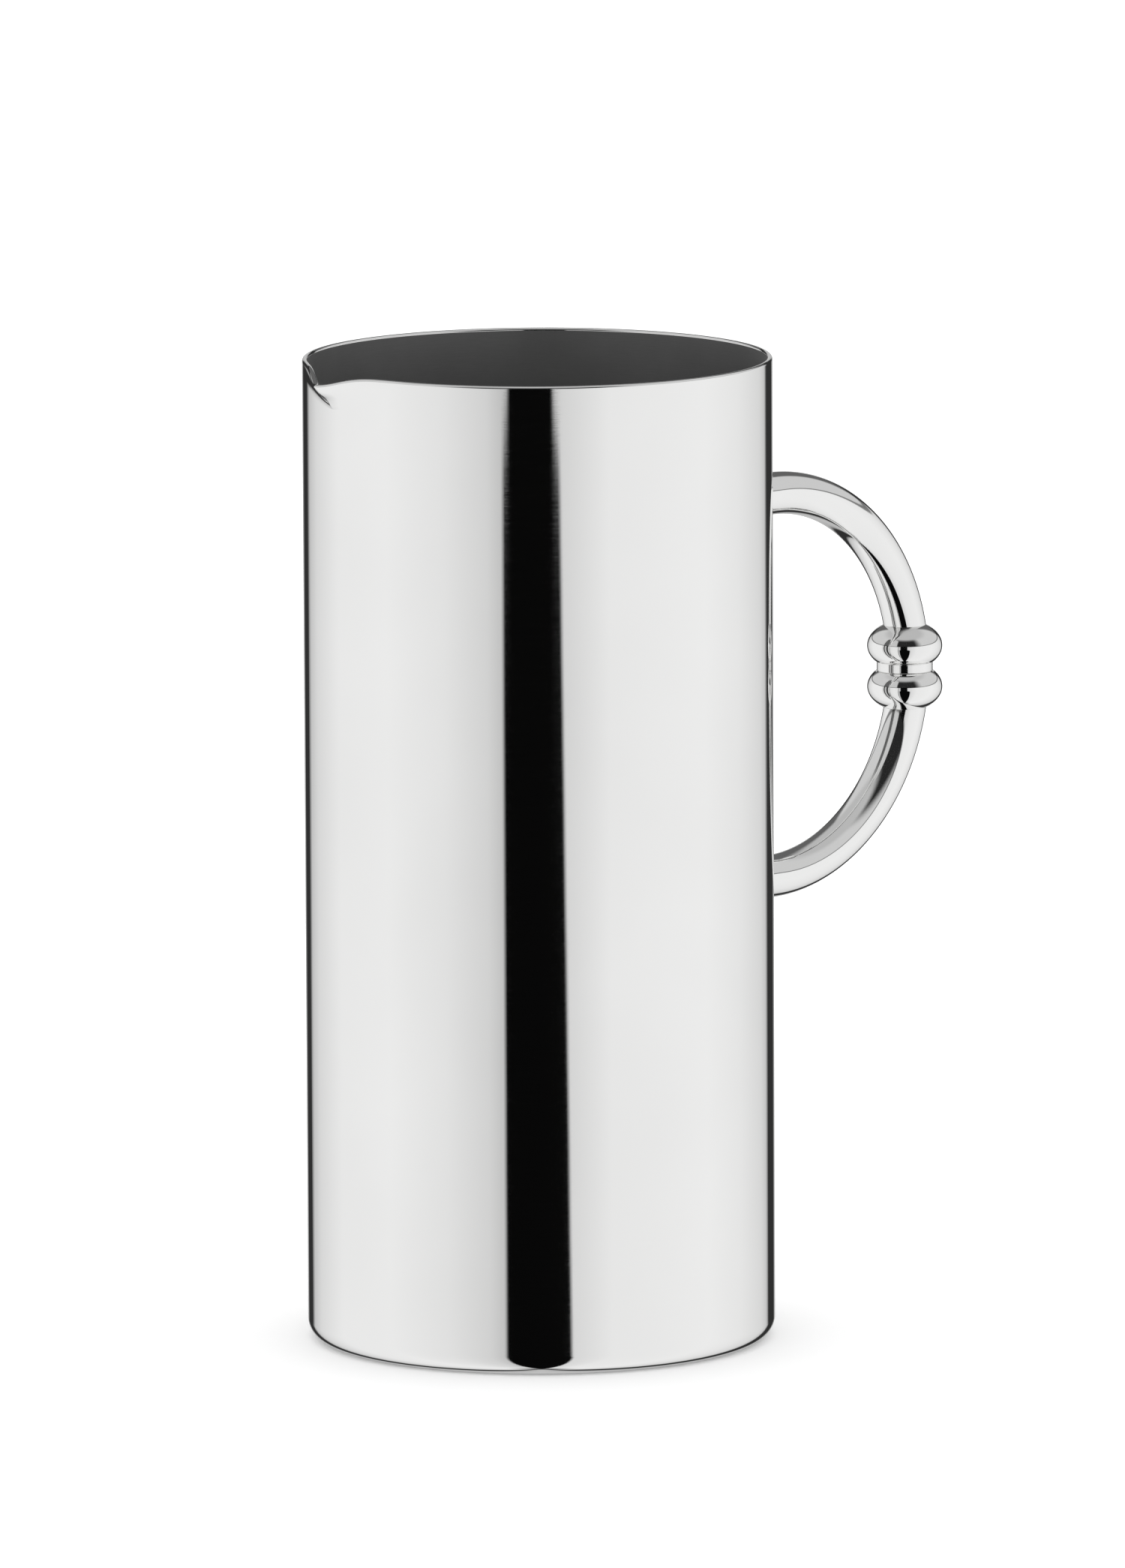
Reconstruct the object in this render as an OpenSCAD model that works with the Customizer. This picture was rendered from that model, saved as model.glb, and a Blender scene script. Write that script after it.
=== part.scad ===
// Silver water pitcher: a straight cylinder with a V spout and a beaded C handle.
// Millimetres. Origin at the centre of the base, +Z up, handle towards +X, spout near -X.

/* [Body] */
// Outer diameter of the cylinder
body_d = 100; // [85:1:120]
// Height from the table to the lip
body_h = 211; // [200:1:260]
// Thickness of the sheet
wall = 1.2; // [1:0.1:1.5]
// Outer radius of the rounded lower edge
edge_r = 4.2; // [3:0.1:4.6]
// Height of the joint between the wall and the base dish
joint_z = 7; // [6.5:0.5:10]
// Thickness of the floor
floor_t = 1.6; // [1.2:0.1:2]

/* [Spout] */
// How far the tip stands out from the cylinder
spout_out = 4.3; // [3.6:0.1:9]
// Depth from the lip to the foot of the keel
spout_drop = 7.8; // [7:0.1:14]
// Outer rounding of the keel
keel_r = 1.8; // [1.8:0.1:2.6]
// How far the lip turns down at the tip
tip_dip = 2.3; // [0:0.1:2.6]
// Turn of the spout about the axis, away from the point opposite the handle
spout_turn = 13.3; // [-20:0.1:20]

/* [Handle] */
// Outer diameter of the tube
tube_d = 9.2; // [8:0.1:11]
// Bore of the tube
tube_bore = 7.2; // [5.6:0.1:7.4]
// Height of the handle's middle above the table
handle_z = 133.3; // [115:0.1:140]
// Radius of the bend, to the middle of the tube
bend_r = 41.7; // [34:0.1:46]
// Straight stretch of each arm, outwards from the cylinder
arm_straight = 19; // [10:0.5:26]

/* [Beads] */
// Largest diameter of a bead
bead_d = 16.4; // [14:0.1:20]
// Height of a whole bead before its faces are cut
bead_h = 11; // [9:0.1:12]
// Diameter of the ring between the beads
collar_d = 12.2; // [11:0.1:13]
// Thickness of the ring between the beads
collar_t = 2.2; // [1.6:0.1:3]
// Diameter of the rod through the beads
dowel_d = 4.8; // [3.6:0.1:5]

/* [Hidden] */
$fn = 96;

silver = "silver";
sawn = "darkgray";

body_r = body_d / 2;
lip_r = wall / 2;
rabbet_h = 2;                     // overlap of the two halves of the base joint
rabbet_r = body_r - wall / 2;
spigot_reach = 12;                // how far a spigot runs into its arm
past = 5;                         // extra length of a cutting shape

tube_r = tube_d / 2;
bore_r = tube_bore / 2;
bend_x = body_r + arm_straight;   // where the straight stretch turns into the bend

// A bead is a flattened ball, cut flat where the collar and the tube meet it.
bead_r = bead_d / 2;
bead_b = bead_h / 2;
function bead_cut(r) = bead_b * sqrt(1 - pow(r / bead_r, 2));
bead_mid = collar_t / 2 + bead_cut(collar_d / 2 + 0.35);   // from the handle's middle to a bead's
bead_end = bead_mid + bead_cut(tube_r);                    // and to the face that meets the tube
bead_x = bend_x + sqrt(pow(bend_r, 2) - pow(bead_end, 2));
dowel_reach = 3;                  // how far the rod runs into each tube

// Spout. Seen from above, each level is a circle with two flat flanks that touch it and meet in a
// rounded keel. The keel runs in a straight line from the tip down to the cylinder.
spout_rows = 17;
flank_steps = 5;
keel_steps = 6;
lip_steps = 6;
foot_gap = 0.04;                  // the lowest level still stands this far out

// Middle of the keel's rounding at a depth below the lip
function keel_c(depth) =
    body_r - keel_r + foot_gap + (spout_out - foot_gap) * (1 - depth / spout_drop);
// Half angle of the flanks at that depth
function flank_a(depth) = acos((body_r - keel_r) / keel_c(depth));
// Depth of each level: close together near the foot, where the outline narrows fast
function row_depth(i) = spout_drop * (1 - pow(1 - i / spout_rows, 1.6));

// Outline of one level from the middle of the keel (s = 0) to the cylinder (s = 1), moved
// inwards by inset. Points are [distance out, distance across].
function side_point(depth, inset, s) =
    let (a = flank_a(depth), c = keel_c(depth), k = keel_r - inset, r = body_r - inset,
         turn = keel_steps / (keel_steps + flank_steps))
    s <= turn
        ? [c + k * cos(a * s / turn), k * sin(a * s / turn)]
        : let (f = (s - turn) / (1 - turn), p = [c + k * cos(a), k * sin(a)],
               q = [r * cos(a), r * sin(a)])
          p + (q - p) * f;

// The inner edge of the seam lies straight behind the outer one, across the same width.
function seam_point(depth) =
    let (y = body_r * sin(flank_a(depth)), r = body_r - wall) [sqrt(r * r - y * y), y];

// How far the lip is turned down at a given distance from the axis
function lip_fall(r) =
    let (u = min(1, max(0, (r - body_r) / spout_out)))
    tip_dip * u * u * (3 - 2 * u);

// Cylinder between the base joint and the lip, still without spout and handle holes
module plain_wall() {
    rotate_extrude()
        union() {
            translate([body_r - wall, joint_z + rabbet_h])
                square([wall, body_h - lip_r - joint_z - rabbet_h]);
            translate([rabbet_r, joint_z])
                square([wall / 2, rabbet_h + 0.5]);
            translate([body_r - lip_r, body_h - lip_r])
                circle(r = lip_r);
        }
}

// The opening for the spout, seen from the side of the spout
module spout_notch() {
    half = [for (i = [0 : spout_rows])
        [body_r * sin(flank_a(row_depth(i))), body_h - row_depth(i)]];
    foot = len(half) - 1;
    top = [[half[0][0], body_h + past], [-half[0][0], body_h + past]];
    outline = concat(top, [for (i = [0 : foot]) [-half[i][0], half[i][1]]],
                     [for (i = [foot : -1 : 0]) half[i]]);
    rotate([90, 0, -90 - spout_turn])
        linear_extrude(height = body_d)
            polygon(outline);
}

// A peg or hole along an arm, from inside the wall
module along_arm(side, r, length) {
    translate([body_r - past, 0, handle_z + side * bend_r])
        rotate([0, 90, 0])
            cylinder(r = r, h = length);
}

module body_wall() {
    color(silver)
        difference() {
            plain_wall();
            spout_notch();
            for (side = [-1, 1])
                along_arm(side, bore_r, 2 * past);
        }
}

// Floor, rounded lower edge and a short upstand with the inner half of the rabbet
module base_dish() {
    inner_r = edge_r - wall;
    color(silver)
        rotate_extrude()
            union() {
                square([body_r - edge_r, floor_t]);
                difference() {
                    union() {
                        translate([body_r - edge_r, edge_r])
                            circle(r = edge_r);
                        translate([body_r - wall, edge_r])
                            square([wall, joint_z - edge_r]);
                        translate([body_r - wall, edge_r])
                            square([wall / 2, joint_z + rabbet_h - edge_r]);
                    }
                    translate([body_r - 3 * edge_r, floor_t])
                        square([3 * edge_r - wall - inner_r, 2 * edge_r]);
                    translate([body_r - wall - inner_r, floor_t + inner_r])
                        square([inner_r, joint_z + rabbet_h]);
                    translate([body_r - wall - inner_r, floor_t + inner_r])
                        circle(r = inner_r);
                }
            }
}

// The beak is one closed skin. Each column of points runs up the outside, over the rounded lip
// and down the inside, and the columns go from one seam round the keel to the other seam.
module spout() {
    half = keel_steps + flank_steps;
    columns = [for (j = [-half : half]) j];
    levels = [for (i = [spout_rows : -1 : 0]) row_depth(i)];

    function at(j, depth, inset) =
        let (p = abs(j) == half && inset >= wall ? seam_point(depth)
               : side_point(depth, inset, abs(j) / half))
        [p[0], sign(j) * p[1]];
    function fall(j) = lip_fall(norm(side_point(0, 0, abs(j) / half)));
    function lift(j, depth) =
        body_h - depth - (depth < 1 ? 1 : max(0, 1 - (depth - 1) / (spout_drop - 2))) * fall(j)
        - (depth == 0 ? lip_r : 0);
    function place(p, z) = [-p[0], -p[1], z];

    outside = function (j) [for (d = levels) place(at(j, d, 0), lift(j, d))];
    inside = function (j) [for (i = [0 : spout_rows])
        place(at(j, row_depth(i), wall), lift(j, row_depth(i)))];
    rounded = function (j)
        let (o = at(j, 0, 0), n = at(j, 0, wall), z = lift(j, 0))
        [for (k = [1 : lip_steps - 1])
            let (a = 180 * k / lip_steps, p = (o + n) / 2 + (o - n) / 2 * cos(a))
            place(p, z + lip_r * sin(a))];

    grid = [for (j = columns) concat(outside(j), rounded(j), inside(j))];
    rows = len(grid[0]);
    last = len(grid) - 1;
    points = [for (column = grid) each column];
    function id(c, r) = c * rows + r % rows;
    skin = [for (c = [0 : last - 1], r = [0 : rows - 1])
        each [[id(c, r), id(c, r + 1), id(c + 1, r + 1)], [id(c, r), id(c + 1, r + 1), id(c + 1, r)]]];
    // A seam face pairs each outer point with the inner point of the same level.
    function seam(c) = [for (i = [0 : spout_rows - 1])
        let (o = i, n = rows - 1 - i)
        each [[id(c, o), id(c, n), id(c, n - 1)], [id(c, o), id(c, n - 1), id(c, o + 1)]]];
    function lip_cap(c) = [for (r = [spout_rows + 1 : spout_rows + lip_steps - 1])
        [id(c, spout_rows), id(c, r + 1), id(c, r)]];
    function flip(faces) = [for (f = faces) [f[0], f[2], f[1]]];
    color(silver)
        rotate([0, 0, -spout_turn])
            polyhedron(points, concat(skin, seam(0), lip_cap(0), flip(seam(last)), flip(lip_cap(last))));
}

// One arm: a straight tube from the wall and a quarter bend that ends flat on its bead
module handle_arm(side) {
    module bar(r) {
        rotate([0, 90, 0])
            cylinder(r = r, h = arm_straight + past);
    }
    module bend(r) {
        rotate([90, 0, 0])
            rotate_extrude(angle = 90)
                translate([bend_r, 0])
                    circle(r = r);
    }
    color(silver)
        translate([bend_x, 0, handle_z])
            mirror([0, 0, side < 0 ? 1 : 0])
                difference() {
                    union() {
                        translate([-arm_straight - past, 0, bend_r])
                            bar(tube_r);
                        bend(tube_r);
                    }
                    translate([-arm_straight - past, 0, bend_r])
                        bar(bore_r);
                    bend(bore_r);
                    translate([-bend_x, 0, -past])
                        cylinder(r = body_r, h = bend_r + 3 * past);
                    translate([0, -body_r, -past])
                        cube([body_d, body_d, past + bead_end]);
                }
}

module upper_handle_arm() { handle_arm(1); }
module lower_handle_arm() { handle_arm(-1); }

module bead(side) {
    inner_face = bead_mid - collar_t / 2;
    outer_face = bead_end - bead_mid;
    steps = 20;
    profile = [for (i = [0 : steps])
        let (z = -inner_face + (inner_face + outer_face) * i / steps)
        [bead_r * sqrt(1 - pow(z / bead_b, 2)), z]];
    color(silver)
        translate([bead_x, 0, handle_z])
            mirror([0, 0, side < 0 ? 1 : 0])
                translate([0, 0, bead_mid])
                    difference() {
                        rotate_extrude()
                            polygon(concat([[0, -inner_face]], profile, [[0, outer_face]]));
                        cylinder(d = dowel_d, h = 2 * bead_h, center = true);
                    }
}

module upper_bead() { bead(1); }
module lower_bead() { bead(-1); }

module bead_collar() {
    color(silver)
        translate([bead_x, 0, handle_z])
            difference() {
                cylinder(d = collar_d, h = collar_t, center = true);
                cylinder(d = dowel_d, h = 2 * collar_t, center = true);
            }
}

module handle_dowel() {
    color(sawn)
        translate([bead_x, 0, handle_z])
            cylinder(d = dowel_d, h = 2 * (bead_end + dowel_reach), center = true);
}

// Peg that closes the end of an arm's bore and passes through the wall, flush with its inside
module spigot(side) {
    color(sawn)
        difference() {
            along_arm(side, bore_r, past + spigot_reach);
            cylinder(r = body_r - wall, h = body_h);
        }
}

module upper_spigot() { spigot(1); }
module lower_spigot() { spigot(-1); }

body_wall();
base_dish();
spout();
upper_handle_arm();
lower_handle_arm();
upper_bead();
lower_bead();
bead_collar();
handle_dowel();
upper_spigot();
lower_spigot();
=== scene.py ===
"""Looks of the silver water pitcher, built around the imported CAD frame.

Every silver piece is a dense mesh made from the same formulas as its CAD node, with exact surface
normals, so that reflections run smoothly over each piece and across the joints between pieces.
Lengths are in metres. The handle points along +X, and the spout stands a little to one side of -X.
"""

import math

import bpy
import numpy as np
from mathutils import Matrix, Vector


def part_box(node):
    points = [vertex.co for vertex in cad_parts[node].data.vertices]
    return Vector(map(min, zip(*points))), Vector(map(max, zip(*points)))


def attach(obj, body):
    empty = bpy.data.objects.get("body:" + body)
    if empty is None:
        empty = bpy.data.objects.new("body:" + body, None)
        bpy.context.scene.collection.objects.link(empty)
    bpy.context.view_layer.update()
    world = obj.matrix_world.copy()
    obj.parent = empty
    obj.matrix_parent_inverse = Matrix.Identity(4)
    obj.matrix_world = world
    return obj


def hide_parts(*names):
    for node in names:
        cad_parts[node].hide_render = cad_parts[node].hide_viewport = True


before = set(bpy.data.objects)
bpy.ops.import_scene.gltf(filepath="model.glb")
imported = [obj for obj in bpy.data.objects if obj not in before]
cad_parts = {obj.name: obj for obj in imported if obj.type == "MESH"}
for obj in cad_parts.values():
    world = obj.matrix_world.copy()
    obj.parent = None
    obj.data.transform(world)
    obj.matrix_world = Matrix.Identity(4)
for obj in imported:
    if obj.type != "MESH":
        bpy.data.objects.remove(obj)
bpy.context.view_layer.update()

MM = 0.001
MERGE = 0.37e-6        # points of neighbouring patches closer than this become one


# ---------------------------------------------------------------- sizes, read from the CAD frame

def size_of(node):
    """Extent of a CAD node along X, Y and Z."""
    low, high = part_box(node)
    return high - low


BODY_R = size_of("body_wall").x / 2
BODY_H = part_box("body_wall")[1].z
WALL = 1.2 * MM
JOINT_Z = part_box("body_wall")[0].z
RABBET_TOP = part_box("base_dish")[1].z
RABBET_R = BODY_R - WALL / 2
INNER_R = BODY_R - WALL
LIP_R = WALL / 2
EDGE_R = 4.2 * MM
FLOOR_T = 1.6 * MM

SPOUT_DROP = BODY_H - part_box("spout")[0].z
KEEL_R = 1.8 * MM
SPOUT_TURN = math.radians(13.3)     # from the point opposite the handle, towards +Y
SPOUT_OUT = (-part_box("spout")[0].x - KEEL_R) / math.cos(SPOUT_TURN) + KEEL_R - BODY_R
TIP_DIP = 2.3 * MM
DIP_DEPTH = 0.9 * SPOUT_DROP        # below this depth the flanks no longer follow the lip down
FOOT_GAP = 0.01 * MM

TUBE_R = size_of("upper_handle_arm").y / 2
BORE_R = size_of("upper_spigot").y / 2
DOWEL_LOW, DOWEL_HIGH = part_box("handle_dowel")
DOWEL_R = (DOWEL_HIGH.x - DOWEL_LOW.x) / 2
BEAD_X = (DOWEL_HIGH.x + DOWEL_LOW.x) / 2
HANDLE_Z = (DOWEL_HIGH.z + DOWEL_LOW.z) / 2
BEND_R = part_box("upper_handle_arm")[1].z - TUBE_R - HANDLE_Z
BEAD_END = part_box("upper_handle_arm")[0].z - HANDLE_Z
BEND_X = BEAD_X - math.sqrt(BEND_R**2 - BEAD_END**2)
FILLET_R = 0.7 * MM

BEAD_R = size_of("upper_bead").x / 2
BEAD_B = 5.5 * MM
COLLAR_R = size_of("bead_collar").x / 2
COLLAR_T = size_of("bead_collar").z
COLLAR_EDGE = 0.3 * MM
PIN_EDGE = 0.4 * MM
KEEL_SHARE = 0.4            # share of a level's half outline that the keel's rounding takes


# ---------------------------------------------------------------- colours, camera and light

SILVER_PALE = (0.95, 0.95, 0.945)
SILVER_DEEP = (0.92, 0.92, 0.915)
# Inside colours: a dark grey that is painted shade, not the silver's own colour; the tone between the
# two varies at random.
INSIDE_SHADE_PALE = (0.26, 0.26, 0.26)
INSIDE_SHADE_DEEP = (0.21, 0.21, 0.21)
SAWN_PALE = (0.72, 0.71, 0.69)
SAWN_DEEP = (0.52, 0.51, 0.49)

CAMERA_AZIMUTH = -43.5      # degrees, 0 looks along +Y
CAMERA_DISTANCE = 3.7
CAMERA_HEIGHT = 0.6844
CAMERA_PITCH = 8.686
CAMERA_YAW = 0.077
CAMERA_ROLL = -0.257
CAMERA_LENS = 403.1
SENSOR = 36

FLOOR_SIZE = 16
FLOOR_WHITE = (0.86, 0.86, 0.86)
ROOM_LIGHT = 1.5            # on the floor and behind the pitcher

# The light tent that the silver mirrors. Azimuths are in degrees from the camera, positive to its
# right; brightness is 1 for white. Dark stops are gaps beside the backdrop, behind the pitcher.
TENT = [
    (-180, 0.55), (-171, 0.45), (-167, 0.03), (-156, 0.03), (-151, 0.56), (-140, 0.72), (-116, 0.86),
    (-80, 0.88), (-47, 0.80), (-25, 0.68), (-18, 0.57), (0, 0.6), (12, 0.69), (35, 0.85), (90, 0.89),
    (116, 0.83), (140, 0.71), (148, 0.58), (152, 0.03), (166, 0.03), (171, 0.45), (180, 0.55),
]
# The slot is the black gap in the tent's wall through which the camera looks.
SLOT_LEFT = -17.2
SLOT_RIGHT = (15.2, 9.9)    # low in the room and high in the room
SLOT_SLANT = (-10.8, -7.2)  # elevations between which the right edge slants
SLOT_TAPER = (-7.68, -7.36) # elevations between which both edges step in
SLOT_STEP = 2.8
SLOT_SOFT = 1.2
SLOT_BLACK = 0.004
GAP_AT = 14.6               # elevation of the dark seam between the tent's wall and its roof
GAP_HALF = (0.8, 2.4)
GAP_LIGHT = 0.3
NADIR = (-88, -80)          # the table under the pitcher, a little darker than the tent
NADIR_LIGHT = 0.3
ROOF_SOFT = 1.0             # half width of the blend between wall and roof
ROOF_LIGHT = 0.62           # on both sides
ROOF_FRONT = (30, 60)       # azimuths between which it fades to black over the camera
ROOF_FRONT_LIGHT = 0.02
ROOF_BACK = (142, 152)      # and between which it fades behind the pitcher
ROOF_BACK_SHARE = 0.2
ZENITH = (44, 62)           # elevations between which the roof turns into its middle panel
ZENITH_LIGHT = 0.5


# ---------------------------------------------------------------- surfaces and solids

def spread(low, high, steps):
    return np.linspace(low, high, steps + 1)


def patch(surface, us, vs, outward):
    """A grid of points on surface(u, v), with the surface's own normals.

    surface takes and returns arrays. outward(points) gives a rough direction for the normals.
    The derivatives are taken just inside the patch, so that they also exist at a pole or an edge.
    """
    u, v = np.meshgrid(us, vs, indexing="ij")
    du = (us[-1] - us[0]) * 1e-4
    dv = (vs[-1] - vs[0]) * 1e-4
    uc = np.clip(u, min(us[0], us[-1]) + 2 * abs(du), max(us[0], us[-1]) - 2 * abs(du))
    vc = np.clip(v, min(vs[0], vs[-1]) + 2 * abs(dv), max(vs[0], vs[-1]) - 2 * abs(dv))
    along_u = surface(uc + du, vc) - surface(uc - du, vc)
    along_v = surface(uc, vc + dv) - surface(uc, vc - dv)
    points = surface(u, v)
    normals = np.cross(along_u, along_v)
    normals /= np.maximum(np.linalg.norm(normals, axis=-1, keepdims=True), 1e-15)
    side = np.sign((normals * outward(points)).sum(-1, keepdims=True))
    return points, normals * np.where(side == 0, 1, side)


def solid(name, patches, inside=()):
    """One closed mesh from patches that share their borders, with the patches' normals kept.

    inside lists the patches that take the second material, the unpolished one, whose dark colour is
    painted shade.
    """
    points = np.concatenate([p.reshape(-1, 3) for p, n in patches])
    normals = np.concatenate([n.reshape(-1, 3) for p, n in patches])
    keys, first, merged = np.unique(
        np.round(points / MERGE).astype(np.int64), axis=0, return_index=True, return_inverse=True
    )
    merged = merged.reshape(-1)
    faces, corners, finishes = [], [], []
    start = 0
    for number, (p, n) in enumerate(patches):
        rows, columns = p.shape[:2]
        index = start + np.arange(rows * columns).reshape(rows, columns)
        start += rows * columns
        quads = np.stack([index[:-1, :-1], index[1:, :-1], index[1:, 1:], index[:-1, 1:]], -1)
        for quad in quads.reshape(-1, 4):
            ring = []
            for corner in quad:
                if all(merged[corner] != merged[other] for other in ring):
                    ring.append(corner)
            if len(ring) < 3:
                continue
            a, b, c = points[ring[0]], points[ring[1]], points[ring[2]]
            d = points[ring[-1]]
            facing = np.cross(b - a, c - a) + np.cross(c - a, d - a)
            if (facing * normals[ring].sum(0)).sum() < 0:
                ring.reverse()
            faces.append([int(merged[corner]) for corner in ring])
            corners.extend(normals[corner] for corner in ring)
            finishes.append(int(number in inside))
    mesh = bpy.data.meshes.new(name)
    mesh.from_pydata(points[first].tolist(), [], faces)
    mesh.shade_smooth()
    mesh.polygons.foreach_set("material_index", finishes)
    mesh.normals_split_custom_set([Vector(n) for n in corners])
    piece = bpy.data.objects.new(name, mesh)
    bpy.context.scene.collection.objects.link(piece)
    return piece


def ring_surface(profile):
    """Surface of revolution about Z. profile(v) gives (radius, height)."""
    def surface(u, v):
        r, z = profile(v)
        return np.stack([r * np.cos(u), r * np.sin(u), z + 0 * u], -1)
    return surface


def line(a, b):
    """Profile of a straight stretch between two (radius, height) points, v from 0 to 1."""
    return lambda v: (a[0] + (b[0] - a[0]) * v, a[1] + (b[1] - a[1]) * v)


def arc(centre, radius, start, end):
    """Profile of an arc, v from 0 to 1, angles in degrees from the outward direction."""
    def profile(v):
        a = np.radians(start + (end - start) * v)
        return centre[0] + radius * np.cos(a), centre[1] + radius * np.sin(a)
    return profile


def away_from(centre):
    """Normals that point away from the point (radius, height) in each section through Z."""
    def outward(p):
        r = np.hypot(p[..., 0], p[..., 1])
        safe = np.maximum(r, 1e-9)
        out = (r - centre[0]) / safe
        return np.stack([p[..., 0] * out, p[..., 1] * out, p[..., 2] - centre[1]], -1)
    return outward


def lathe(name, strips, turns, axis_x=0.0, inside=()):
    """A solid of revolution about an upright axis. strips are (profile, steps, normal direction)."""
    around = spread(0, 2 * math.pi, turns)
    piece = solid(name, [
        patch(ring_surface(profile), around, spread(0, 1, steps), facing)
        for profile, steps, facing in strips
    ], inside)
    piece.data.transform(Matrix.Translation((axis_x, 0, 0)))
    return piece


# ---------------------------------------------------------------- spout and body

def keel_c(depth):
    """Distance from the axis to the middle of the keel's rounding."""
    return BODY_R - KEEL_R + FOOT_GAP + (SPOUT_OUT - FOOT_GAP) * (1 - depth / SPOUT_DROP)


def flank_a(depth):
    """Half angle of the flanks, where they leave the cylinder."""
    return np.arccos((BODY_R - KEEL_R) / keel_c(depth))


def notch_depth(angle):
    """Depth at which the flanks leave the cylinder at that angle from the spout's middle."""
    foot = BODY_R - KEEL_R + FOOT_GAP
    share = ((BODY_R - KEEL_R) / np.cos(angle) - foot) / (SPOUT_OUT - FOOT_GAP)
    return SPOUT_DROP * (1 - np.clip(share, 0, 1))


NOTCH_A = float(flank_a(0.0))
FOOT_A = float(flank_a(SPOUT_DROP))


def height_at(depth):
    """Height of a level. The first level lies just under the rounded lip."""
    return BODY_H - LIP_R - depth * (1 - LIP_R / SPOUT_DROP)


def smooth_step(x):
    x = np.clip(x, 0, 1)
    return x * x * (3 - 2 * x)


def level(depth, s, inset):
    """Point at s on the level at that depth: 0 on the keel, 1 and -1 where a flank meets the wall."""
    side, s = np.sign(s), np.abs(s)
    a, c = flank_a(depth), keel_c(depth)
    k, r = KEEL_R - inset, BODY_R - inset
    bend = a * np.minimum(s / KEEL_SHARE, 1)
    flank = np.clip((s - KEEL_SHARE) / (1 - KEEL_SHARE), 0, 1)
    out = (c + k * np.cos(bend)) * (1 - flank) + r * np.cos(a) * flank
    across = k * np.sin(bend) * (1 - flank) + r * np.sin(a) * flank
    return out, across * side


def beak_height(depth, s):
    """Height of the beak's point at s on a level, with the tip turned down near the lip."""
    r = np.hypot(*level(0.0, s, 0.0))
    fall = TIP_DIP * smooth_step((r - BODY_R) / SPOUT_OUT)
    return height_at(depth) - smooth_step(1 - depth / DIP_DEPTH) * fall


def across_wall(v):
    """Share of the wall's thickness passed at v, spaced like the points of the round lip."""
    return (1 - np.cos(math.pi * v)) / 2


def beak_side(inset):
    def surface(s, depth):
        out, across = level(depth, s, inset)
        return np.stack([-out, -across, beak_height(depth, s)], -1)
    return surface


def beak_edge(depth, lift):
    """Strip from the beak's outside to its inside at one level, raised to a half round by lift."""
    def surface(s, v):
        outer, inner = level(depth, s, 0.0), level(depth, s, WALL)
        share = across_wall(v)
        out = outer[0] + (inner[0] - outer[0]) * share
        across = outer[1] + (inner[1] - outer[1]) * share
        z = beak_height(depth, s) + lift * np.sin(math.pi * v)
        return np.stack([-out, -across, z], -1)
    return surface


def seam_face(side):
    """Where beak and wall meet: v across the wall, depth down the notch."""
    def surface(v, depth):
        a = flank_a(depth)
        r = BODY_R - WALL * across_wall(v)
        return np.stack([-r * np.cos(a), -side * r * np.sin(a), height_at(depth)], -1)
    return surface


def lip_end(side):
    """Half round section of the lip where beak and wall meet."""
    def surface(v, up):
        r = BODY_R - WALL * across_wall(v)
        z = BODY_H - LIP_R + LIP_R * np.sin(math.pi * v) * up
        return np.stack([-r * np.cos(NOTCH_A), -side * r * np.sin(NOTCH_A), z], -1)
    return surface


def towards(x, y, z):
    """Rough direction for the normals of a flat patch."""
    return lambda p: np.broadcast_to((float(x), float(y), float(z)), p.shape)


def outwards(p):
    return p * (1, 1, 0)


def inwards(p):
    return -p * (1, 1, 0)


def from_beak_middle(p):
    return p * (1, 1, 0) + (0.6 * BODY_R, 0, 0)


def into_beak_middle(p):
    return -from_beak_middle(p)


def turned(patches):
    """The patches turned about the axis to where the spout stands."""
    c, s = math.cos(SPOUT_TURN), math.sin(SPOUT_TURN)
    turn = np.array([[c, -s, 0], [s, c, 0], [0, 0, 1]])
    return [(points @ turn, normals @ turn) for points, normals in patches]


LEVELS = SPOUT_DROP * (1 - (1 - spread(0, 1, 60)) ** 1.6)
LIP_STEPS = spread(0, 1, 10)
ONE_STEP = spread(0, 1, 1)


def build_spout():
    half = np.concatenate([spread(0, KEEL_SHARE, 20), spread(KEEL_SHARE, 1, 24)[1:]])
    across = np.concatenate([-half[:0:-1], half])
    patches = [
        patch(beak_side(0.0), across, LEVELS, from_beak_middle),
        patch(beak_side(WALL), across, LEVELS, into_beak_middle),
        patch(beak_edge(0.0, LIP_R), across, LIP_STEPS, towards(0, 0, 1)),
        patch(beak_edge(SPOUT_DROP, 0.0), across, LIP_STEPS, towards(0, 0, -1)),
    ]
    for side in (-1, 1):
        facing = towards(0.5, -side, 0)
        patches.append(patch(seam_face(side), LIP_STEPS, LEVELS, facing))
        patches.append(patch(lip_end(side), LIP_STEPS, ONE_STEP, facing))
    return solid("spout_beak", turned(patches), inside=(1,))


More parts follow.
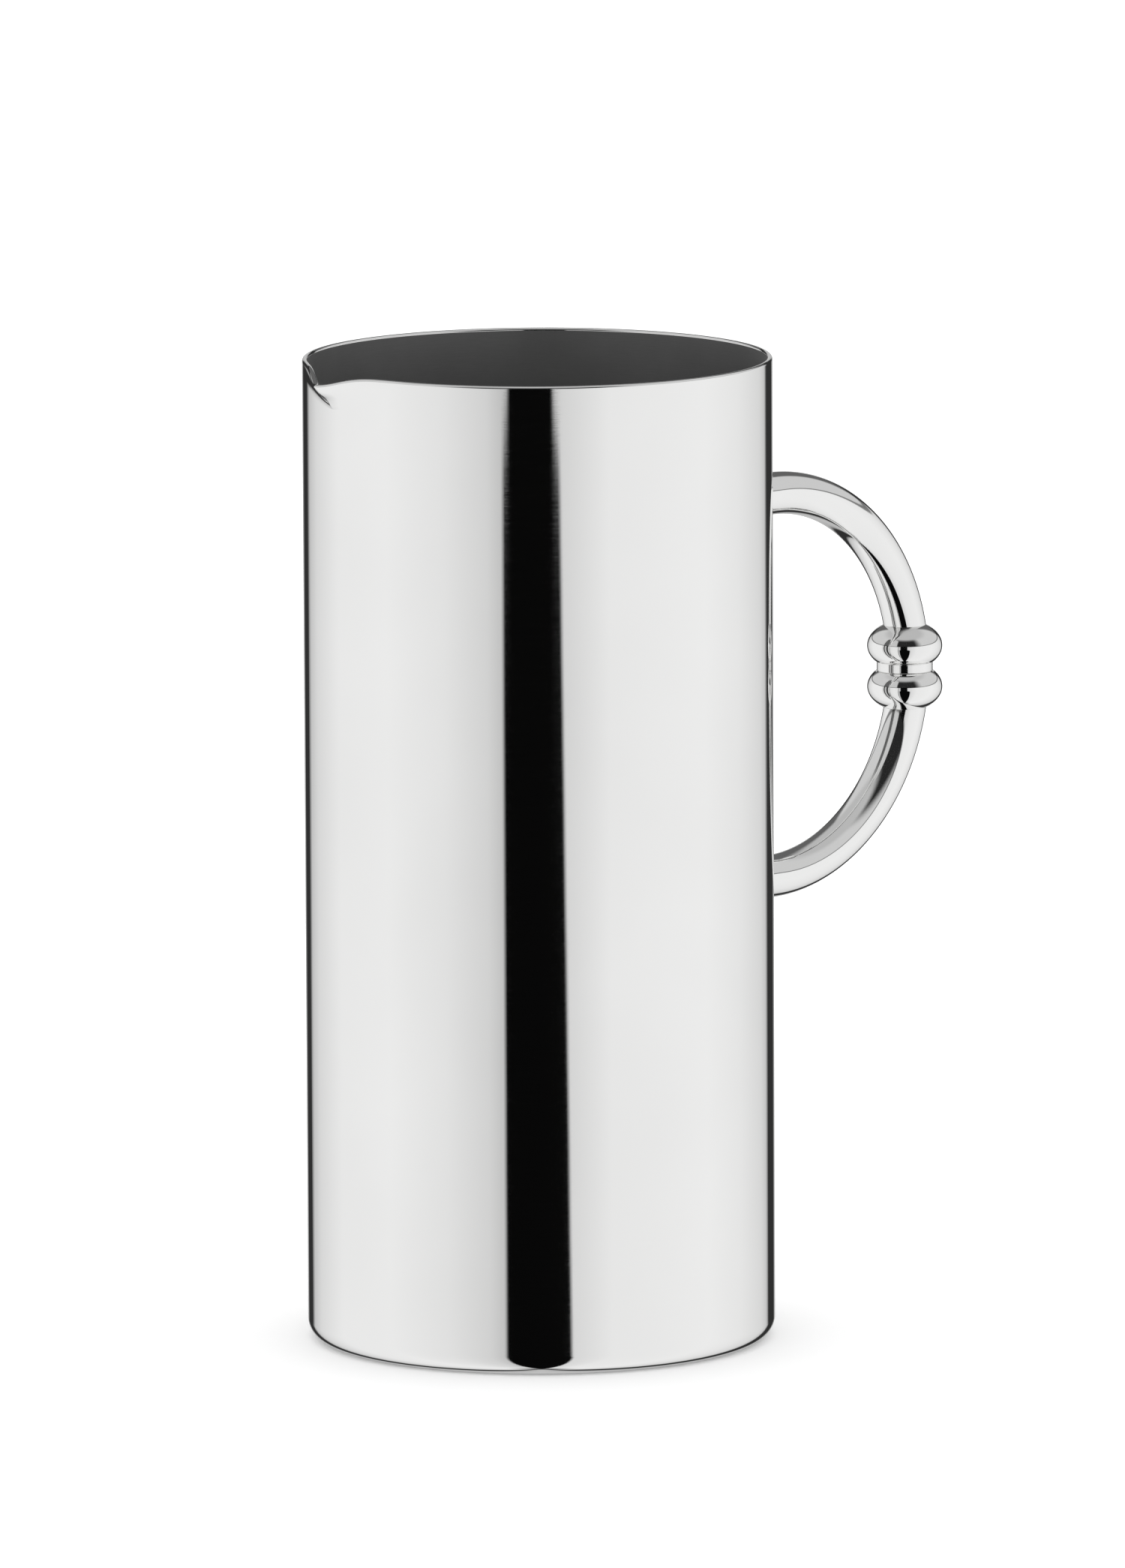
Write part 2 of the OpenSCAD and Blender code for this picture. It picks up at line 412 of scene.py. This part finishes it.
def build_wall():
    spout_at = math.pi
    open_turn = spread(spout_at + NOTCH_A, 3 * spout_at - NOTCH_A, 256)
    half = np.concatenate([[0.0, FOOT_A / 2], flank_a(LEVELS)[::-1]])
    notch_turn = np.concatenate([-half[:0:-1], half])
    full = np.concatenate([open_turn[:-1], 3 * spout_at + notch_turn])
    rise = spread(0, 1, 30)
    lip_middle = (BODY_R - LIP_R, BODY_H - LIP_R)

    def top_at(off):
        """Height of the wall at an angle from the spout's middle."""
        return height_at(np.where(off < NOTCH_A, notch_depth(np.clip(off, FOOT_A, NOTCH_A)), 0.0))

    def upright(r, low):
        def surface(u, v):
            off = np.abs(u % (2 * math.pi) - spout_at)
            return np.stack([r * np.cos(u), r * np.sin(u), low + (top_at(off) - low) * v], -1)
        return surface

    def notch_face(u, v):
        r = BODY_R - WALL * across_wall(v)
        angle = spout_at + u
        return np.stack([r * np.cos(angle), r * np.sin(angle), top_at(np.abs(u))], -1)

    patches = [
        patch(upright(BODY_R, JOINT_Z), full, rise, outwards),
        patch(upright(INNER_R, RABBET_TOP), full, rise, inwards),
        patch(ring_surface(arc(lip_middle, LIP_R, 0, 180)), open_turn, LIP_STEPS,
              away_from(lip_middle)),
        patch(notch_face, notch_turn, LIP_STEPS, towards(0, 0, 1)),
    ]
    rabbet = [
        (line((RABBET_R, JOINT_Z), (BODY_R, JOINT_Z)), towards(0, 0, -1)),
        (line((RABBET_R, JOINT_Z), (RABBET_R, RABBET_TOP)), inwards),
        (line((INNER_R, RABBET_TOP), (RABBET_R, RABBET_TOP)), towards(0, 0, -1)),
    ]
    patches += [patch(ring_surface(profile), full, ONE_STEP, facing) for profile, facing in rabbet]
    for side in (-1, 1):
        patches.append(patch(lip_end(side), LIP_STEPS, ONE_STEP, towards(0, side, 0)))
    return solid("pitcher_wall", turned(patches), inside=(1,))


def build_base():
    """Floor, rounded lower edge and the upstand that carries the inner half of the rabbet."""
    core = (BODY_R - EDGE_R, EDGE_R)
    inner_edge = EDGE_R - WALL
    inner_core = (INNER_R - inner_edge, FLOOR_T + inner_edge)
    down, up = towards(0, 0, -1), towards(0, 0, 1)
    strips = [
        (line((0, 0), (core[0], 0)), 20, down),
        (arc(core, EDGE_R, -90, 0), 24, away_from(core)),
        (line((BODY_R, EDGE_R), (BODY_R, JOINT_Z)), 2, outwards),
        (line((BODY_R, JOINT_Z), (RABBET_R, JOINT_Z)), 1, up),
        (line((RABBET_R, JOINT_Z), (RABBET_R, RABBET_TOP)), 1, outwards),
        (line((RABBET_R, RABBET_TOP), (INNER_R, RABBET_TOP)), 1, up),
        (line((INNER_R, RABBET_TOP), (INNER_R, inner_core[1])), 2, inwards),
        (arc(inner_core, inner_edge, 0, -90), 20, lambda p: -away_from(inner_core)(p)),
        (line((inner_core[0], FLOOR_T), (0, FLOOR_T)), 20, up),
    ]
    return lathe("base_dish_piece", strips, 288, inside=(6, 7, 8))


# ---------------------------------------------------------------- handle

def arm_surface(side, radius, flare):
    """Skin of a tube along the arm, with a hollow of radius flare where it meets the wall.

    around turns about the tube. along runs from the wall (0) to the bend (1) and the bead (2).
    """
    def surface(around, along):
        straight = np.clip(along, 0, 1)
        left = np.maximum(flare - (BEND_X - BODY_R) * straight, 0)
        r = radius + flare - np.sqrt(flare**2 - left**2)
        y = r * np.cos(around)
        wall_x = np.sqrt(BODY_R**2 - y**2)
        bend_r = BEND_R + r * np.sin(around)
        turn = np.arccos(BEAD_END / bend_r) * np.clip(along - 1, 0, 1)
        x = wall_x + (BEND_X - wall_x) * straight + bend_r * np.sin(turn)
        return np.stack([x, y, HANDLE_Z + side * bend_r * np.cos(turn)], -1)
    return surface


def arm_end(side, at, outer):
    """Ring that closes the tube between the bore and its skin, on the wall (0) or the bead (2)."""
    def surface(around, share):
        r = BORE_R + (outer - BORE_R) * share
        y = r * np.cos(around)
        bend_r = BEND_R + r * np.sin(around)
        if at == 0:
            return np.stack([np.sqrt(BODY_R**2 - y**2), y, HANDLE_Z + side * bend_r], -1)
        x = BEND_X + np.sqrt(bend_r**2 - BEAD_END**2)
        return np.stack([x, y, HANDLE_Z + side * BEAD_END + 0 * x], -1)
    return surface


def build_arm(side, name):
    around = spread(0, 2 * math.pi, 72)
    hollow = FILLET_R / (BEND_X - BODY_R)
    along = np.concatenate([
        hollow * spread(0, 1, 8) ** 1.5, spread(hollow, 1, 10)[1:], spread(1, 2, 64)[1:]
    ])

    def from_middle(p):
        """Away from the middle line of the tube."""
        reach = np.maximum(p[..., 0] - BEND_X, 0)
        rise = side * (p[..., 2] - HANDLE_Z)
        far = np.hypot(reach, rise)
        away = (far - BEND_R) / far
        return np.stack([reach * away, p[..., 1], side * rise * away], -1)

    patches = [
        patch(arm_surface(side, TUBE_R, FILLET_R), around, along, from_middle),
        patch(arm_surface(side, BORE_R, 0.0), around, along, lambda p: -from_middle(p)),
        patch(arm_end(side, 0, TUBE_R + FILLET_R), around, ONE_STEP, towards(-1, 0, 0)),
        patch(arm_end(side, 2, TUBE_R), around, ONE_STEP, towards(0, 0, -side)),
    ]
    return solid(name, patches)


def build_bead(side, name):
    outer_face = BEAD_B * math.sqrt(1 - (TUBE_R / BEAD_R) ** 2)
    middle = BEAD_END - outer_face
    inner_face = middle - COLLAR_T / 2
    last, first = math.asin(outer_face / BEAD_B), -math.asin(inner_face / BEAD_B)

    def profile(v):
        a = first + (last - first) * v
        return BEAD_R * np.cos(a), HANDLE_Z + side * (middle + BEAD_B * np.sin(a))

    low = HANDLE_Z + side * (middle - inner_face)
    high = HANDLE_Z + side * BEAD_END
    strips = [
        (profile, 40, outwards),
        (line((BEAD_R * math.cos(first), low), (DOWEL_R, low)), 2, towards(0, 0, -side)),
        (line((TUBE_R, high), (DOWEL_R, high)), 2, towards(0, 0, side)),
        (line((DOWEL_R, low), (DOWEL_R, high)), 2, inwards),
    ]
    return lathe(name, strips, 96, BEAD_X)


def rounded_bar(r, bore, low, high, edge):
    """Strips of a turned bar or ring about a vertical axis, with small round edges."""
    strips = [
        (line((r, low + edge), (r, high - edge)), 4, outwards),
        (arc((r - edge, high - edge), edge, 0, 90), 6, away_from((r - edge, high - edge))),
        (arc((r - edge, low + edge), edge, 0, -90), 6, away_from((r - edge, low + edge))),
        (line((r - edge, high), (bore, high)), 2, towards(0, 0, 1)),
        (line((r - edge, low), (bore, low)), 2, towards(0, 0, -1)),
    ]
    if bore:
        strips.append((line((bore, low), (bore, high)), 2, inwards))
    return strips


def build_collar():
    low, high = HANDLE_Z - COLLAR_T / 2, HANDLE_Z + COLLAR_T / 2
    strips = rounded_bar(COLLAR_R, DOWEL_R, low, high, COLLAR_EDGE)
    return lathe("bead_ring", strips, 96, BEAD_X)


def build_dowel():
    strips = rounded_bar(DOWEL_R, 0, DOWEL_LOW.z, DOWEL_HIGH.z, PIN_EDGE)
    return lathe("dowel_rod", strips, 48, BEAD_X)


def build_spigot(side, name):
    """Peg inside the arm. It stops inside the wall, which is polished over it."""
    first = BODY_R - WALL / 2
    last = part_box("upper_spigot")[1].x
    piece = lathe(name, rounded_bar(BORE_R, 0, first, last, PIN_EDGE), 48)
    piece.data.transform(Matrix.Rotation(math.pi / 2, 4, "Y"))
    piece.data.transform(Matrix.Translation((0, 0, HANDLE_Z + side * BEND_R)))
    return piece


# ---------------------------------------------------------------- materials

class Nodes:
    """Short way to add and join shader nodes."""

    def __init__(self, tree):
        self.tree = tree

    def add(self, kind, **values):
        node = self.tree.nodes.new(kind)
        for key, value in values.items():
            setattr(node, key, value)
        return node

    def join(self, source, target):
        self.tree.links.new(source, target)

    def noise(self, place, scale, detail, roughness=0.5):
        node = self.add("ShaderNodeTexNoise")
        self.join(place, node.inputs["Vector"])
        node.inputs["Scale"].default_value = scale
        node.inputs["Detail"].default_value = detail
        node.inputs["Roughness"].default_value = roughness
        return node.outputs["Fac"]

    def stretched(self, place, scale):
        node = self.add("ShaderNodeMapping")
        self.join(place, node.inputs["Vector"])
        node.inputs["Scale"].default_value = scale
        return node.outputs["Vector"]

    def math(self, operation, *values):
        node = self.add("ShaderNodeMath", operation=operation)
        for value, entry in zip(values, node.inputs):
            if isinstance(value, (int, float)):
                entry.default_value = value
            else:
                self.join(value, entry)
        return node.outputs["Value"]

    def remap(self, value, low, high, new_low, new_high, kind="LINEAR"):
        node = self.add("ShaderNodeMapRange", interpolation_type=kind)
        self.join(value, node.inputs["Value"])
        limits = {"From Min": low, "From Max": high, "To Min": new_low, "To Max": new_high}
        for name, number in limits.items():
            node.inputs[name].default_value = number
        return node.outputs["Result"]

    def blend(self, factor, first, second):
        node = self.add("ShaderNodeMix", data_type="RGBA")
        self.join(factor, node.inputs["Factor"])
        node.inputs["A"].default_value = (*first, 1)
        node.inputs["B"].default_value = (*second, 1)
        return node.outputs["Result"]

    def bump(self, height, distance, strength, below=None):
        node = self.add("ShaderNodeBump")
        self.join(height, node.inputs["Height"])
        node.inputs["Distance"].default_value = distance
        node.inputs["Strength"].default_value = strength
        if below is not None:
            self.join(below, node.inputs["Normal"])
        return node.outputs["Normal"]


def new_metal(name):
    material = bpy.data.materials.new(name)
    material.use_nodes = True
    nodes = Nodes(material.node_tree)
    shader = material.node_tree.nodes["Principled BSDF"]
    shader.inputs["Metallic"].default_value = 1.0
    place = nodes.add("ShaderNodeTexCoord").outputs["Object"]
    return material, nodes, shader, place


def polished_silver():
    """Hand polished sheet: a mirror with faint swells, hairlines and cloudier patches."""
    material, nodes, shader, place = new_metal("polished_silver")
    cloud = nodes.noise(place, 22, 3)
    tone = nodes.remap(cloud, 0.3, 0.7, 0, 1)
    nodes.join(nodes.blend(tone, SILVER_DEEP, SILVER_PALE), shader.inputs["Base Color"])
    hairline = nodes.noise(nodes.stretched(place, (1, 1, 26)), 130, 5, 0.7)
    gloss = nodes.remap(hairline, 0.35, 0.75, 0.018, 0.06)
    nodes.join(gloss, shader.inputs["Roughness"])
    swell = nodes.bump(nodes.noise(place, 28, 1), 0.6 * MM, 0.02)
    scratches = nodes.bump(hairline, 0.02 * MM, 0.02, swell)
    nodes.join(scratches, shader.inputs["Normal"])
    return material


def satin_inside_painted_shade():
    """Inside of the pitcher: silver left satin, with its colour darkened evenly as painted shade."""
    material, nodes, shader, place = new_metal("satin_inside_painted_shade")
    cloud = nodes.noise(place, 35, 4)
    tone = nodes.remap(cloud, 0.3, 0.7, 0, 1)
    # The dark grey base colour of the inside is painted shade.
    nodes.join(nodes.blend(tone, INSIDE_SHADE_DEEP, INSIDE_SHADE_PALE), shader.inputs["Base Color"])
    grain = nodes.noise(nodes.stretched(place, (1, 1, 14)), 260, 4, 0.6)
    nodes.join(nodes.remap(grain, 0.3, 0.7, 0.5, 0.6), shader.inputs["Roughness"])
    nodes.join(nodes.bump(grain, 0.03 * MM, 0.15), shader.inputs["Normal"])
    return material


def sawn_silver():
    """Turned and filed metal, as it is left where it doesn't show."""
    material, nodes, shader, place = new_metal("sawn_silver")
    rings = nodes.noise(nodes.stretched(place, (1, 1, 60)), 90, 4, 0.6)
    tone = nodes.remap(rings, 0.3, 0.7, 0, 1)
    nodes.join(nodes.blend(tone, SAWN_DEEP, SAWN_PALE), shader.inputs["Base Color"])
    nodes.join(nodes.remap(rings, 0.3, 0.7, 0.28, 0.5), shader.inputs["Roughness"])
    nodes.join(nodes.bump(rings, 0.05 * MM, 0.4), shader.inputs["Normal"])
    return material


# ---------------------------------------------------------------- camera, floor and light

def add_camera():
    """Camera at the main viewing angle, with the spout on the left and the handle on the right."""
    yaw, pitch, roll = (math.radians(a) for a in (CAMERA_YAW, CAMERA_PITCH, CAMERA_ROLL))
    ahead = math.cos(pitch)
    forward = Vector((math.sin(yaw) * ahead, math.cos(yaw) * ahead, -math.sin(pitch)))
    level_right = Vector((math.cos(yaw), -math.sin(yaw), 0))
    level_up = level_right.cross(forward)
    right = math.cos(roll) * level_right + math.sin(roll) * level_up
    up = math.cos(roll) * level_up - math.sin(roll) * level_right
    aim = Matrix((right, up, -forward)).transposed().to_4x4()
    data = bpy.data.cameras.new("camera")
    data.sensor_width = SENSOR
    data.lens = CAMERA_LENS
    data.clip_end = 60
    camera = bpy.data.objects.new("camera", data)
    place = Matrix.Translation((0, -CAMERA_DISTANCE, CAMERA_HEIGHT)) @ aim
    camera.matrix_world = Matrix.Rotation(math.radians(CAMERA_AZIMUTH), 4, "Z") @ place
    bpy.context.scene.collection.objects.link(camera)
    bpy.context.scene.camera = camera


def flat_material(name, color, glow=0.0):
    material = bpy.data.materials.new(name)
    material.use_nodes = True
    shader = material.node_tree.nodes["Principled BSDF"]
    shader.inputs["Base Color"].default_value = (*color, 1)
    shader.inputs["Roughness"].default_value = 0.9
    shader.inputs["Specular IOR Level"].default_value = 0.1
    shader.inputs["Emission Color"].default_value = (*color, 1)
    shader.inputs["Emission Strength"].default_value = glow
    return material


def add_floor():
    """Large pale floor. It isn't mirrored in the silver, which mirrors only the light tent."""
    mesh = bpy.data.meshes.new("floor")
    half = FLOOR_SIZE / 2
    corners = [(-half, -half, 0), (half, -half, 0), (half, half, 0), (-half, half, 0)]
    mesh.from_pydata(corners, [], [(0, 1, 2, 3)])
    floor = bpy.data.objects.new("floor", mesh)
    bpy.context.scene.collection.objects.link(floor)
    floor.data.materials.append(flat_material("floor_white", FLOOR_WHITE))
    floor.visible_glossy = False


def tent_light(nodes):
    """Brightness of the tent in the direction that a mirrored ray takes."""
    turn = nodes.add("ShaderNodeVectorRotate", rotation_type="Z_AXIS")
    nodes.join(nodes.add("ShaderNodeTexCoord").outputs["Generated"], turn.inputs["Vector"])
    turn.inputs["Angle"].default_value = -math.radians(CAMERA_AZIMUTH)
    split = nodes.add("ShaderNodeSeparateXYZ")
    nodes.join(turn.outputs["Vector"], split.inputs["Vector"])
    ahead = nodes.math("MULTIPLY", split.outputs["Y"], -1)
    azimuth = nodes.math("DEGREES", nodes.math("ARCTAN2", split.outputs["X"], ahead))
    elevation = nodes.math("DEGREES", nodes.math("ARCSINE", split.outputs["Z"]))

    def smooth(value, low, high, new_low=0.0, new_high=1.0):
        return nodes.remap(value, low, high, new_low, new_high, "SMOOTHSTEP")

    walls = nodes.add("ShaderNodeValToRGB")
    nodes.join(nodes.remap(azimuth, -180, 180, 0, 1), walls.inputs["Fac"])
    stops = walls.color_ramp.elements
    while len(stops) < len(TENT):
        stops.new(0.5)
    for stop, (angle, light) in zip(stops, TENT):
        stop.position = (angle + 180) / 360
        stop.color = (light, light, light, 1)

    step = smooth(elevation, *SLOT_TAPER, 0, SLOT_STEP)
    right = nodes.math("SUBTRACT", nodes.remap(elevation, *SLOT_SLANT, *SLOT_RIGHT), step)
    left = nodes.math("ADD", step, SLOT_LEFT)
    past_left = smooth(nodes.math("SUBTRACT", azimuth, left), -SLOT_SOFT, SLOT_SOFT)
    before_right = smooth(nodes.math("SUBTRACT", right, azimuth), -SLOT_SOFT, SLOT_SOFT)
    slot = nodes.math("MULTIPLY", past_left, before_right)
    shown = nodes.remap(slot, 0, 1, 1, SLOT_BLACK)
    light = nodes.math("MULTIPLY", walls.outputs["Color"], shown)
    under = smooth(elevation, *NADIR, NADIR_LIGHT, 1)
    light = nodes.math("MULTIPLY", light, under)

    off = nodes.math("ABSOLUTE", azimuth)
    front = smooth(off, *ROOF_FRONT, ROOF_FRONT_LIGHT, ROOF_LIGHT)
    sides = nodes.math("MULTIPLY", front, smooth(off, *ROOF_BACK, 1, ROOF_BACK_SHARE))
    high = smooth(elevation, *ZENITH)
    roof = nodes.math("ADD", nodes.math("MULTIPLY", sides, nodes.math("SUBTRACT", 1, high)),
                      nodes.math("MULTIPLY", high, ZENITH_LIGHT))
    over = smooth(elevation, GAP_AT - ROOF_SOFT, GAP_AT + ROOF_SOFT)
    light = nodes.math("ADD", nodes.math("MULTIPLY", light, nodes.math("SUBTRACT", 1, over)),
                       nodes.math("MULTIPLY", roof, over))
    from_gap = nodes.math("ABSOLUTE", nodes.math("SUBTRACT", elevation, GAP_AT))
    return nodes.math("MULTIPLY", light, smooth(from_gap, *GAP_HALF, GAP_LIGHT, 1))


def add_light():
    """White room light for the floor and backdrop, and the tent where the silver mirrors it."""
    world = bpy.data.worlds.new("room")
    world.use_nodes = True
    nodes = Nodes(world.node_tree)
    background = world.node_tree.nodes["Background"]
    background.inputs["Color"].default_value = (1, 1, 1, 1)
    mirrored = nodes.add("ShaderNodeLightPath").outputs["Is Glossy Ray"]
    room = nodes.math("MULTIPLY", nodes.math("SUBTRACT", 1, mirrored), ROOM_LIGHT)
    tent = nodes.math("MULTIPLY", mirrored, tent_light(nodes))
    nodes.join(nodes.math("ADD", room, tent), background.inputs["Strength"])
    scene = bpy.context.scene
    scene.world = world
    scene.view_settings.view_transform = "Standard"
    scene.cycles.glossy_bounces = 12


# ---------------------------------------------------------------- the scene

silver = polished_silver()
# Polished pieces take the inside material, with its painted shade, as their second material.
FINISHES = {"polished_silver": (silver, satin_inside_painted_shade()), "sawn_silver": (sawn_silver(),)}
PIECES = [
    (build_wall(), "body_wall", "polished_silver"),
    (build_base(), "base_dish", "polished_silver"),
    (build_spout(), "spout", "polished_silver"),
    (build_arm(1, "upper_arm_tube"), "upper_handle_arm", "polished_silver"),
    (build_arm(-1, "lower_arm_tube"), "lower_handle_arm", "polished_silver"),
    (build_bead(1, "upper_bead_ball"), "upper_bead", "polished_silver"),
    (build_bead(-1, "lower_bead_ball"), "lower_bead", "polished_silver"),
    (build_collar(), "bead_collar", "polished_silver"),
    (build_dowel(), "handle_dowel", "sawn_silver"),
    (build_spigot(1, "upper_spigot_peg"), "upper_spigot", "sawn_silver"),
    (build_spigot(-1, "lower_spigot_peg"), "lower_spigot", "sawn_silver"),
]
for piece, node, slot in PIECES:
    for material in FINISHES[slot]:
        piece.data.materials.append(material)
    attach(piece, "root")
    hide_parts(node)

add_camera()
add_floor()
add_light()
